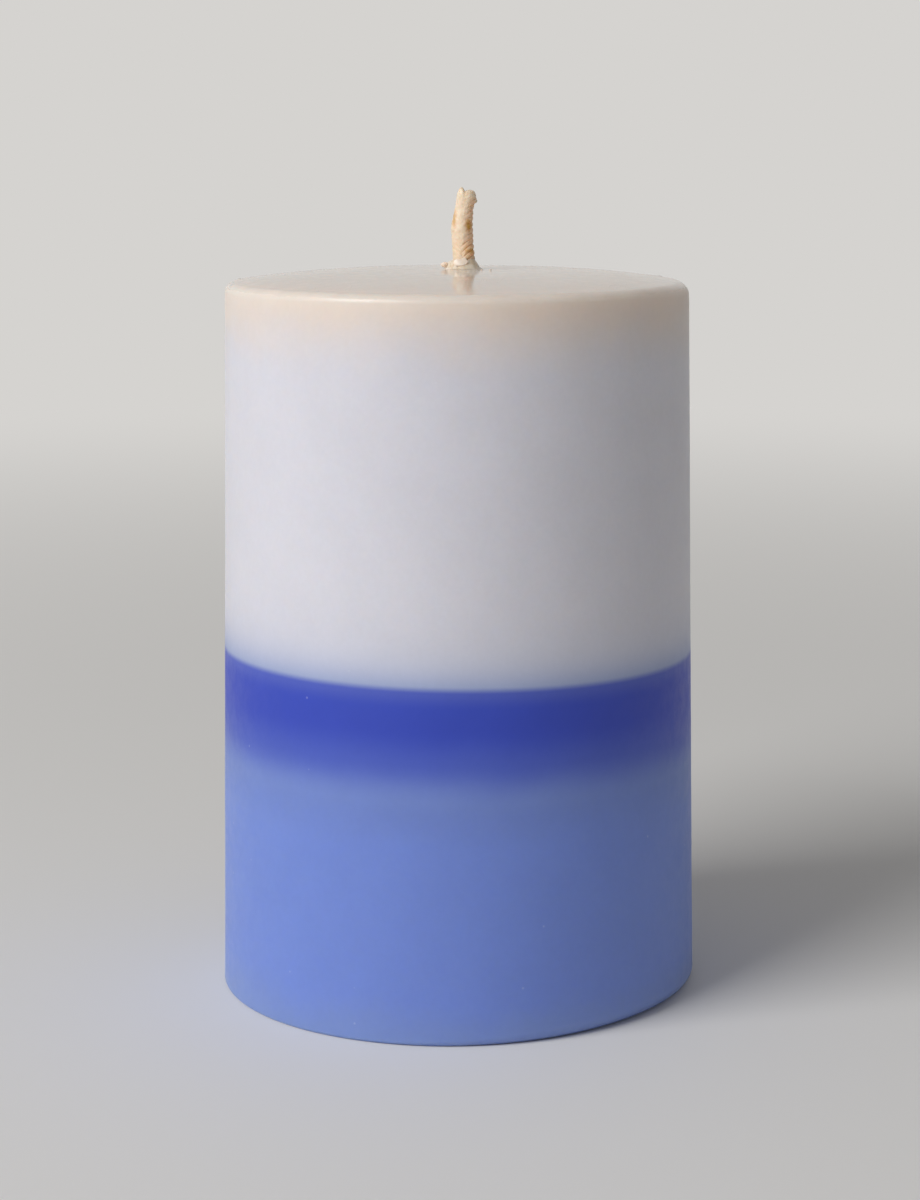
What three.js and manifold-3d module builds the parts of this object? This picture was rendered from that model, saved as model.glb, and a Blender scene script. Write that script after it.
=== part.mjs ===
// A scented pillar candle: three pours of wax, a wick through all of them and a metal sustainer
// let into the base to hold the wick. It was cast upside down, so the rounded rim is the closed
// end of the mould.
// Millimetres, +Z up. The origin is the centre of the base, and -Y is the front.

import * as THREE from 'three';
import { mergeVertices } from 'three/addons/utils/BufferGeometryUtils.js';
import Module from 'manifold-3d';

const wasm = await Module();
wasm.setup();

// Driving dimensions: the wax body
const BASE_DIAMETER = 76.2;
const MOULD_DRAFT_DEGREES = 0.8;
const BASE_LAYER_HEIGHT = 43.2;
const BAND_HEIGHT = 11.5;
const TOP_LAYER_HEIGHT = 57.8;
const BASE_EDGE_RADIUS = 0.6;
const RIM_RADIUS = 1.5;
const CROWN_RISE = 1.75;
const WICK_LAND_RADIUS = 6;

// How full the crown is: at 1 it would rise straight from the rim, above that it rises sooner
const CROWN_FULLNESS = 2.5;

// Driving dimensions: the top-up pour in the shrinkage well under the base
const WELL_MOUTH_DIAMETER = 30;
const WELL_CEILING_DIAMETER = 12;
const WELL_DEPTH = 16;
const TOP_UP_SINK = 0.4;

// Driving dimensions: the wick, wide from side to side and a little thinner from front to back
const WICK_WIDTH = 3.4;
const WICK_DEPTH = 3.1;
const WICK_STAND_OUT = 11.5;
const WICK_OFFSET_AT_TOP = 0.85;
const WICK_BOW = 0.25;
const WICK_TIP_LEAN = 0.4;

// Driving dimensions: the wick's torn tip, with shifts sideways from the end of its centre line
const LOBE_WIDTH = 2.5;
const LOBE_DEPTH = 2.8;
const LOBE_RISE = 0.9;
const LOBE_SHIFT = 0.4;
const SPUR_DIAMETER = 1.1;
const SPUR_TIP_DIAMETER = 0.5;
const SPUR_ROOT_DEPTH = 1.6;
const SPUR_RISE = 1.35;
const SPUR_SHIFT = -0.85;

// Driving dimensions: the sustainer, a stamped disc with a neck
const SUSTAINER_DIAMETER = 20;
const SUSTAINER_THICKNESS = 0.3;
const NECK_HEIGHT = 6;
const NECK_WALL = 0.3;

// Driving dimensions: the wax drawn up round the foot of the wick, and the bead beside it
const COLLAR_WIDTH = 0.75;
const COLLAR_HEIGHT = 1.6;
const BEAD_DIAMETER = 1;
const BEAD_HEIGHT = 1.25;
const BEAD_FOOT_DIAMETER = 0.6;
const BEAD_GAP = 0.15;

// The collar's outer face, as shares of its width and height, from its foot upwards
const COLLAR_FACE = [[1, 0], [0.7, 0.2], [0.3, 0.65], [0.12, 1]];

// Clearance between a piece and the one that it is set in
const FIT_GAP = 0.3;

// Facet counts
const BODY_SIDES = 96;
const SMALL_SIDES = 24;
const WICK_SIDES = 12;
const WICK_STEPS = 46;
const RIM_STEPS = 6;
const CROWN_STEPS = 6;

// Levels and radii that follow from the driving dimensions
const bandBottom = BASE_LAYER_HEIGHT;
const bandTop = bandBottom + BAND_HEIGHT;
const rimLevel = bandTop + TOP_LAYER_HEIGHT;
const landLevel = rimLevel + CROWN_RISE;
const draftSlope = Math.tan(THREE.MathUtils.degToRad(MOULD_DRAFT_DEGREES));
const sideRadius = (level) => BASE_DIAMETER / 2 - level * draftSlope;
const channelRadius = Math.max(WICK_WIDTH, WICK_DEPTH) / 2 + FIT_GAP;
const discTop = TOP_UP_SINK + SUSTAINER_THICKNESS;
const neckTop = discTop + NECK_HEIGHT;
const neckRadius = channelRadius + NECK_WALL;

// Finishes
const paleWax = new THREE.MeshStandardMaterial({ color: 0xe6dfdc, roughness: 0.35, metalness: 0 });
const deepBlueWax = new THREE.MeshStandardMaterial({ color: 0x3f52b4, roughness: 0.4, metalness: 0 });
const mediumBlueWax = new THREE.MeshStandardMaterial({ color: 0x7890d6, roughness: 0.45, metalness: 0 });
const collarWax = new THREE.MeshStandardMaterial({ color: 0xded6cf, roughness: 0.3, metalness: 0 });
const primedCotton = new THREE.MeshStandardMaterial({ color: 0xf2dcc0, roughness: 0.7, metalness: 0 });
const tinnedSteel = new THREE.MeshStandardMaterial({ color: 0xb9bcc0, roughness: 0.35, metalness: 1 });

const group = new THREE.Group();

function add(name, geometry, material) {
  const mesh = new THREE.Mesh(geometry, material);
  mesh.name = name;
  group.add(mesh);
  return mesh;
}

// A closed geometry as a solid that can be joined and cut
function solidOf(geometry) {
  const bare = geometry.index ? geometry.toNonIndexed() : geometry.clone();
  bare.deleteAttribute('normal');
  bare.deleteAttribute('uv');
  const merged = mergeVertices(bare, 1e-4);
  return new wasm.Manifold(new wasm.Mesh({
    numProp: 3,
    vertProperties: new Float32Array(merged.attributes.position.array),
    triVerts: new Uint32Array(merged.index.array),
  }));
}

function geometryOf(solid) {
  const mesh = solid.getMesh();
  const geometry = new THREE.BufferGeometry();
  geometry.setAttribute('position', new THREE.BufferAttribute(mesh.vertProperties, 3));
  geometry.setIndex(new THREE.BufferAttribute(mesh.triVerts, 1));
  geometry.computeVertexNormals();
  return geometry;
}

// A profile of [radius, level] points turned about the vertical axis
function turned(profile, sides) {
  const points = profile.map(([radius, level]) => new THREE.Vector2(radius, level));
  return new THREE.LatheGeometry(points, sides).rotateX(Math.PI / 2);
}

// Points on an arc about [radius, level], from one angle to another in degrees
function arc(centreRadius, centreLevel, arcRadius, fromDegrees, toDegrees, steps) {
  return Array.from({ length: steps + 1 }, (_, i) => {
    const angle = THREE.MathUtils.degToRad(fromDegrees + ((toDegrees - fromDegrees) * i) / steps);
    return [centreRadius + arcRadius * Math.cos(angle), centreLevel + arcRadius * Math.sin(angle)];
  });
}

// The wick's centre line: up through the sustainer's neck, then straight to a point a little right
// of centre in the top face, and above it a slight bow back towards the axis and a lean at the tip
function wickLine() {
  const emergence = WICK_OFFSET_AT_TOP;
  return new THREE.CatmullRomCurve3([
    new THREE.Vector3(0, 0, TOP_UP_SINK),
    new THREE.Vector3(0, 0, neckTop),
    new THREE.Vector3(emergence / 2, 0, (neckTop + landLevel) / 2),
    new THREE.Vector3(emergence, 0, landLevel),
    new THREE.Vector3(emergence - WICK_BOW, 0, landLevel + WICK_STAND_OUT / 2),
    new THREE.Vector3(emergence + WICK_TIP_LEAN, 0, landLevel + WICK_STAND_OUT),
  ], false, 'centripetal');
}

// The wick, or with a margin the channel that it lies in
function wickTube(margin) {
  const section = new THREE.Shape();
  section.absellipse(0, 0, WICK_DEPTH / 2 + margin, WICK_WIDTH / 2 + margin, 0, 2 * Math.PI);
  return new THREE.ExtrudeGeometry(section, {
    steps: WICK_STEPS,
    curveSegments: WICK_SIDES / 2,
    extrudePath: wickLine(),
  });
}

const wickChannel = solidOf(wickTube(FIT_GAP));

function boredForWick(geometry) {
  return geometryOf(solidOf(geometry).subtract(wickChannel));
}

// The medium-blue pour, with the shrinkage well open at its underside
function baseLayer() {
  const foot = sideRadius(BASE_EDGE_RADIUS) - BASE_EDGE_RADIUS;
  return boredForWick(turned([
    [0, WELL_DEPTH],
    [WELL_CEILING_DIAMETER / 2, WELL_DEPTH],
    [WELL_MOUTH_DIAMETER / 2, 0],
    ...arc(foot, BASE_EDGE_RADIUS, BASE_EDGE_RADIUS, -90, 0, 4),
    [sideRadius(bandBottom), bandBottom],
    [0, bandBottom],
  ], BODY_SIDES));
}

function middleBand() {
  return boredForWick(turned([
    [0, bandBottom],
    [sideRadius(bandBottom), bandBottom],
    [sideRadius(bandTop), bandTop],
    [0, bandTop],
  ], BODY_SIDES));
}

// The pale pour: rounded rim, a crowned face and a level land round the wick
function topLayer() {
  const rimCentre = sideRadius(rimLevel) - RIM_RADIUS;
  const crown = Array.from({ length: CROWN_STEPS }, (_, i) => {
    const share = (i + 1) / CROWN_STEPS;
    const radius = rimCentre + (WICK_LAND_RADIUS - rimCentre) * share;
    return [radius, rimLevel + CROWN_RISE * (1 - (1 - share) ** CROWN_FULLNESS)];
  });
  return boredForWick(turned([
    [0, bandTop],
    [sideRadius(bandTop), bandTop],
    ...arc(rimCentre, rimLevel - RIM_RADIUS, RIM_RADIUS, 0, 90, RIM_STEPS),
    ...crown,
    [0, landLevel],
  ], BODY_SIDES));
}

// The second pour fills the well up to its ceiling. Its underside is drawn in a little, so the
// candle stands on the ring of the base layer, and holds the pocket for the sustainer
function topUpPour() {
  const mouth = WELL_MOUTH_DIAMETER / 2 - FIT_GAP;
  const ceiling = WELL_CEILING_DIAMETER / 2 - FIT_GAP;
  const lower = mouth + ((ceiling - mouth) * TOP_UP_SINK) / WELL_DEPTH;
  const pocket = SUSTAINER_DIAMETER / 2 + FIT_GAP;
  const neckBore = neckRadius + FIT_GAP;
  return boredForWick(turned([
    [0, neckTop + FIT_GAP],
    [neckBore, neckTop + FIT_GAP],
    [neckBore, discTop],
    [pocket, discTop],
    [pocket, TOP_UP_SINK],
    [lower, TOP_UP_SINK],
    [ceiling, WELL_DEPTH],
    [0, WELL_DEPTH],
  ], BODY_SIDES));
}

function sustainer() {
  return turned([
    [channelRadius, TOP_UP_SINK],
    [SUSTAINER_DIAMETER / 2, TOP_UP_SINK],
    [SUSTAINER_DIAMETER / 2, discTop],
    [neckRadius, discTop],
    [neckRadius, neckTop],
    [channelRadius, neckTop],
    [channelRadius, TOP_UP_SINK],
  ], SMALL_SIDES);
}

// The wick with its torn tip: a rounded lobe on the right and a thin spur on the left
function wick() {
  const end = landLevel + WICK_STAND_OUT;
  const tipCentre = WICK_OFFSET_AT_TOP + WICK_TIP_LEAN;
  const lobe = new THREE.SphereGeometry(1, WICK_SIDES, WICK_SIDES)
    .rotateX(Math.PI / 2)
    .scale(LOBE_WIDTH / 2, LOBE_DEPTH / 2, LOBE_RISE)
    .translate(tipCentre + LOBE_SHIFT, 0, end);
  const spurLength = SPUR_ROOT_DEPTH + SPUR_RISE;
  const spur = new THREE.CylinderGeometry(SPUR_TIP_DIAMETER / 2, SPUR_DIAMETER / 2, spurLength, WICK_SIDES)
    .rotateX(Math.PI / 2)
    .translate(tipCentre + SPUR_SHIFT, 0, end - SPUR_ROOT_DEPTH + spurLength / 2);
  return geometryOf(solidOf(wickTube(0)).add(solidOf(lobe)).add(solidOf(spur)));
}

// How much wider and higher than its mean the collar is at an angle: wide on the right, narrow on
// the left beside the bead, and a little higher at the back
const collarSpread = (angle) => 1 + 0.3 * Math.cos(angle) + 0.1 * Math.sin(3 * angle);
const collarRise = (angle) => 1 + 0.12 * Math.sin(angle) + 0.06 * Math.cos(3 * angle);

// A low steep ring of wax, turned round and then drawn out by its spread and its rise
function collar() {
  const geometry = turned([
    [channelRadius, 0],
    ...COLLAR_FACE.map(([out, up]) => [channelRadius + out * COLLAR_WIDTH, up * COLLAR_HEIGHT]),
    [channelRadius, COLLAR_HEIGHT],
    [channelRadius, 0],
  ], SMALL_SIDES);
  const position = geometry.attributes.position;
  for (let i = 0; i < position.count; i += 1) {
    const x = position.getX(i);
    const y = position.getY(i);
    const radius = Math.hypot(x, y);
    const angle = Math.atan2(y, x);
    const drawn = (channelRadius + (radius - channelRadius) * collarSpread(angle)) / radius;
    position.setXYZ(i, x * drawn, y * drawn, position.getZ(i) * collarRise(angle));
  }
  return geometry;
}

function bead() {
  const centre = BEAD_HEIGHT - BEAD_DIAMETER / 2;
  return turned([
    [0, 0],
    [BEAD_FOOT_DIAMETER / 2, 0],
    ...arc(0, centre, BEAD_DIAMETER / 2, -50, 90, RIM_STEPS),
  ], WICK_SIDES);
}

add('wax_base_layer', baseLayer(), mediumBlueWax);
add('wax_middle_band', middleBand(), deepBlueWax);
add('wax_top_layer', topLayer(), paleWax);
add('base_top_up_pour', topUpPour(), mediumBlueWax);
add('wick_sustainer', sustainer(), tinnedSteel);
add('wick', wick(), primedCotton);
add('wick_collar_wax', collar(), collarWax).position.set(WICK_OFFSET_AT_TOP, 0, landLevel);
const collarLeft = channelRadius + COLLAR_WIDTH * collarSpread(Math.PI);
const beadCentre = WICK_OFFSET_AT_TOP - collarLeft - BEAD_GAP - BEAD_FOOT_DIAMETER / 2;
add('collar_bead', bead(), collarWax).position.set(beadCentre, 0, landLevel);

export default group;
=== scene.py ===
"""A scented pillar candle: three pours of coloured wax, a braided wick and its steel sustainer."""

import math

import bmesh
import bpy
import numpy as np
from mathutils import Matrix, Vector, noise


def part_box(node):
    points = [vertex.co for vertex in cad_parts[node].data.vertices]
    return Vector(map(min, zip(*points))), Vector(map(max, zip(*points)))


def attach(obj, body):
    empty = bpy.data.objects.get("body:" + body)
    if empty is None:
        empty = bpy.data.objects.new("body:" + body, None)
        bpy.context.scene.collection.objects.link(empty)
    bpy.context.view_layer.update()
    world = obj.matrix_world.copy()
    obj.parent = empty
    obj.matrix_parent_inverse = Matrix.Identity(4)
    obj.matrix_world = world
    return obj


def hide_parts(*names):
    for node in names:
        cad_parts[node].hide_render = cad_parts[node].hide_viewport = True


bl_info = {
    "name": "Layered Pillar Candle",
    "version": (1, 0, 0),
    "blender": (4, 5, 0),
    "location": "3D Viewport > Sidebar > Candle",
    "description": "Builds a cast pillar candle of three wax layers with its wick and sustainer",
    "category": "Add Mesh",
}

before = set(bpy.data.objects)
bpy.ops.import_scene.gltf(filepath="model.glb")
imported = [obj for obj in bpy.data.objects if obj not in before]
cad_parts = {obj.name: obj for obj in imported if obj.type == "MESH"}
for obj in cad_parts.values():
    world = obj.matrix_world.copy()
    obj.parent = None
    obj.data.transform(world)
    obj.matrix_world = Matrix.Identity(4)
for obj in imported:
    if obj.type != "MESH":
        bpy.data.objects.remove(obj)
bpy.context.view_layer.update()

MM = 0.001
BODY = "root"
TURN = 2 * math.pi


def box_mm(node):
    """The lowest and highest corner of a CAD node in millimetres."""
    low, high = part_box(node)
    return low / MM, high / MM


# Levels and radii of the wax body, from the frame
SEAM_LOW = box_mm("wax_middle_band")[0].z
SEAM_HIGH = box_mm("wax_top_layer")[0].z
LAND_LEVEL = box_mm("wax_top_layer")[1].z
SEAM_RADIUS = box_mm("wax_top_layer")[1].x
MOULD_DRAFT = math.radians(0.8)
CROWN_FULLNESS = 2.5

# The wick's channel: on the axis at the sustainer, a little right of it at the top face
WICK_LOW, WICK_HIGH = box_mm("wick")
NECK_TOP = box_mm("wick_sustainer")[1].z
WICK_HALF_WIDTH = 1.7
WICK_HALF_DEPTH = 1.55
CHANNEL_RADIUS = 2.0
WICK_OFFSET = 0.85

# The top-up pour under the base and the sustainer in its pocket
TOP_UP_LOW, TOP_UP_HIGH = box_mm("base_top_up_pour")
SUSTAINER_LOW, SUSTAINER_HIGH = box_mm("wick_sustainer")
WELL_MOUTH = 15.0
WELL_CEILING = 6.0
STEEL_THICKNESS = 0.3
NECK_RADIUS = 2.3

# Clearance left round the steel in the top-up pour, and the flat that the wick stands on
FIT_GAP = 0.3
WICK_LAND_RADIUS = 6.0

# Mesh density, and the angle above which an edge stays sharp
WAX_SIDES = 256
WICK_SIDES = 168
SMALL_SIDES = 96
SHARP_EDGE = math.radians(42)

# How strongly wax bends light
WAX_IOR = 1.44

# How far the edges between the colours drop to the right, in millimetres a metre
SEAM_SLOPE = 13.0

# Where the key light stands and how large it is, in metres
KEY_PLACE = (-1.38, -1.08, 1.28)
KEY_SIZE = (1.3, 1.0)


def srgb(red, green, blue):
    """A colour given as 0 to 255 display values, as the linear values that Blender uses."""
    def linear(value):
        part = value / 255
        return part / 12.92 if part <= 0.04045 else ((part + 0.055) / 1.055) ** 2.4
    return (linear(red), linear(green), linear(blue))


def colour(name, description, default):
    return bpy.props.FloatVectorProperty(
        name=name, description=description, subtype="COLOR", size=3, min=0, max=1, default=default
    )


def length(name, description, default_mm, low_mm=0.0, high_mm=50.0):
    return bpy.props.FloatProperty(
        name=name, description=description, subtype="DISTANCE", unit="LENGTH", precision=5,
        min=low_mm * MM, max=high_mm * MM, default=default_mm * MM,
    )


def share(name, description, default):
    return bpy.props.FloatProperty(
        name=name, description=description, subtype="FACTOR", min=0, max=1, default=default
    )


class CandleWax(bpy.types.PropertyGroup):
    """Colours, shape and finish of the poured wax."""

    pale: colour("Pale wax", "Colour of the top layer", srgb(226, 225, 233))
    # Painted glow: this warm tint under the rim stands for light passing through the wax there, not for the
    # wax's own colour
    rim_glow: colour("Cream", "Warmer tint of the top layer just under the rim", srgb(238, 225, 214))
    halo: colour("Halo", "Pale blue over the band, where its dye bled up", srgb(160, 174, 214))
    deep_blue: colour("Deep blue", "Colour of the band", srgb(54, 76, 192))
    under_band: colour("Under the band", "Duller blue where the two blue pours mixed", srgb(121, 144, 212))
    medium_blue: colour("Medium blue", "Colour of the base layer", srgb(124, 149, 223))
    frosting: colour("Frosting", "Greyer bloom near the foot of the base layer", srgb(130, 153, 214))
    rim_radius: length("Rim radius", "Rounding of the rim that the mould's end gave", 1.5, 0.5, 4.0)
    rim_softening: length("Rim softening", "How much rounder the rim is at the right", 0.8, 0.0, 3.0)
    crown_rise: length("Crown", "How far the middle of the top face stands over the rim", 1.72, 0.0, 4.0)
    top_tilt: length("Top tilt", "How much the rim rises to the right, on one radius", 0.06, 0.0, 1.0)
    foot_radius: length("Foot radius", "Rounding of the edge that the candle stands on", 0.4, 0.1, 3.0)
    foot_wear: length("Foot wear", "How much rounder that edge is worn at the front right", 2.4, 0.0, 3.0)
    waviness: length("Waviness", "Unevenness left in the cast sides", 0.05, 0.0, 0.3)
    rim_wear: length("Rim wear", "Depth of the small dents round the rim", 0.22, 0.0, 1.0)
    side_roughness: share("Side roughness", "Roughness of the satin sides", 0.42)
    face_roughness: share("Top roughness", "Roughness of the glossy top face and rim", 0.12)
    translucency: share("Translucency", "Weight of the light that passes under the wax surface", 0.8)
    light_depth: length("Light depth", "How far light travels under the wax surface", 4.5, 0.1, 10.0)


class CandleWick(bpy.types.PropertyGroup):
    """The braided cotton wick and the wax round its foot."""

    cotton: colour("Waxed cotton", "Colour of the braid", srgb(255, 204, 158))
    coat: colour("Wax coat", "Colour where the priming wax lies thick on the braid", srgb(255, 229, 204))
    # Painted shade: the darker colour between the yarns stands for the shade in the braid's grooves
    groove: colour("Grooves", "Colour between the yarns", srgb(206, 166, 108))
    stain: colour("Stains", "Yellow-brown marks on the braid", srgb(206, 156, 54))
    collar: colour("Collar wax", "Colour of the wax drawn up round the wick", srgb(234, 208, 176))
    flake: colour("Flake and bead", "Colour of the bead, flake and crumbs", srgb(255, 232, 214))
    stitch: length("Stitch", "Height of one stitch of the braid", 0.88, 0.4, 2.0)
    relief: length("Relief", "Depth of the braid's grooves", 0.25, 0.0, 0.5)
    collar_height: length("Collar height", "Height of the wax at the foot of the wick", 1.85, 0.5, 3.0)


class CandleMetal(bpy.types.PropertyGroup):
    """The stamped wick sustainer."""

    tinplate: colour("Tinplate", "Colour of the sustainer", srgb(200, 202, 206))
    rib_height: length("Rib height", "Height of the stamped rings", 0.15, 0.0, 0.3)


class CandleStage(bpy.types.PropertyGroup):
    """Camera, floor and lights."""

    floor: colour("Floor", "Colour of the floor", srgb(238, 236, 233))
    backdrop: colour("Backdrop", "Colour seen behind the candle", srgb(213, 211, 208))
    camera_distance: length("Camera distance", "From the candle's axis", 429.8, 100.0, 2000.0)
    camera_height: length("Camera height", "Above the floor", 137.1, 0.0, 1000.0)
    camera_side: length("Camera side step", "To the right of the candle's axis", 8.0, 0.0, 50.0)
    camera_pitch: bpy.props.FloatProperty(
        name="Camera pitch", description="How far the camera looks down",
        subtype="ANGLE", unit="ROTATION", default=math.radians(7.98),
    )
    lens: bpy.props.FloatProperty(
        name="Lens", description="Focal length in millimetres", unit="CAMERA", default=81.58
    )
    shift: bpy.props.FloatVectorProperty(
        name="Lens shift", description="Sideways and upright, as a share of the frame",
        size=2, default=(-0.04, -0.08),
    )
    key_power: bpy.props.FloatProperty(
        name="Key light", description="Power of the soft light at the front left", unit="POWER", default=32.0
    )
    ambient: bpy.props.FloatProperty(
        name="Ambient", description="Strength of the even light from all round", min=0, default=0.22
    )


def settings(kind):
    """One of the candle's property groups, as the scene holds it."""
    return getattr(bpy.context.scene, "candle_" + kind)


# Shapes: meshes are worked out in millimetres and made in metres


def side_radius(level):
    """Radius of the drafted side at a level."""
    return SEAM_RADIUS + (SEAM_HIGH - level) * math.tan(MOULD_DRAFT)


def channel_centre(level):
    """How far right of the axis the wick's channel lies at a level."""
    return WICK_OFFSET * (level - NECK_TOP) / (LAND_LEVEL - NECK_TOP)


def ease(value):
    """Smooth step from 0 to 1."""
    held = np.clip(value, 0, 1)
    return held * held * (3 - 2 * held)


def bump(value, width):
    """A smooth hump of height 1 at 0."""
    return np.exp(-((value / width) ** 2))


def apart(angle, other):
    """Signed difference of two angles, from minus half a turn to half a turn."""
    return (angle - other + TURN / 2) % TURN - TURN / 2


def ripple(points, size, seed):
    """Smooth noise from about -1 to 1 at each point, with features of that size."""
    offset = Vector((seed * 17.3, seed * 5.1, seed * 9.7))
    flat = points.reshape(-1, 3)
    values = [noise.noise(Vector(p) / size + offset) for p in flat.tolist()]
    return np.array(values).reshape(points.shape[:-1])


def arc(centre_radius, centre_level, radius, start, end, steps):
    """Points [radius, level] on an arc, from one angle in degrees to another."""
    angles = np.radians(np.linspace(start, end, steps + 1))
    return [(centre_radius + radius * math.cos(a), centre_level + radius * math.sin(a)) for a in angles]


def line(start, end, steps):
    """Points from start to end, without the end."""
    return [tuple(p) for p in np.linspace(start, end, steps, endpoint=False)]


def angles_round(sides):
    return np.linspace(0, TURN, sides, endpoint=False)


def turned(profile_at, sides):
    """A grid of points, one ring for each [radius, level] of a profile that may change with the angle."""
    theta = angles_round(sides)
    rings = np.array([profile_at(angle) for angle in theta], float).transpose(1, 0, 2)
    radius, level = rings[..., 0], rings[..., 1]
    return np.stack([radius * np.cos(theta), radius * np.sin(theta), level], -1)


def make_mesh(name, points, faces):
    """A mesh object from points in millimetres, facing out and smooth but for its sharp edges."""
    mesh = bpy.data.meshes.new(name)
    mesh.from_pydata((np.asarray(points).reshape(-1, 3) * MM).tolist(), [], faces)
    build = bmesh.new()
    build.from_mesh(mesh)
    bmesh.ops.recalc_face_normals(build, faces=build.faces)
    build.to_mesh(mesh)
    build.free()
    mesh.shade_smooth()
    mesh.set_sharp_from_angle(angle=SHARP_EDGE)
    piece = bpy.data.objects.new(name, mesh)
    bpy.context.scene.collection.objects.link(piece)
    return piece


def grid_faces(rows, sides):
    """Quads between each ring of a grid and the next."""
    index = np.arange(rows * sides).reshape(rows, sides)
    here, after = index[:-1], index[1:]
    quads = np.stack([here, np.roll(here, -1, 1), np.roll(after, -1, 1), after], -1)
    return quads.reshape(-1, 4).tolist()


def ring_body(name, grid):
    """A body with a hole through it: the grid's last ring joins its first."""
    rows, sides = grid.shape[:2]
    faces = np.array(grid_faces(rows + 1, sides)) % (rows * sides)
    return make_mesh(name, grid, faces.tolist())


def capped_body(name, grid):
    """A body without a hole: its first and last rings are closed by a point in their middle."""
    rows, sides = grid.shape[:2]
    faces = grid_faces(rows, sides)
    points = np.concatenate([grid.reshape(-1, 3), [grid[0].mean(0), grid[-1].mean(0)]])
    bottom, top = rows * sides, rows * sides + 1
    for i in range(sides):
        j = (i + 1) % sides
        faces.append([bottom, j, i])
        faces.append([top, (rows - 1) * sides + i, (rows - 1) * sides + j])
    return make_mesh(name, points, faces)


def move_to_channel(grid, inner, outer):
    """Shifts rings that lie near the wick's channel onto it, fading out towards the side."""
    radius = np.hypot(grid[..., 0], grid[..., 1])
    near = 1 - ease((radius - inner) / (outer - inner))
    grid[..., 0] += near * channel_centre(grid[..., 2])
    return grid


def dress(piece, material, slot, *nodes):
    """Gives a piece its finish and its place on the candle, and hides the CAD nodes it stands for."""
    piece.data.materials.clear()
    piece.data.materials.append(material)
    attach(piece, BODY)
    if nodes:
        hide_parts(*nodes)
    return piece


# Materials: each tree is a chain of small helpers that return sockets


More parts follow.
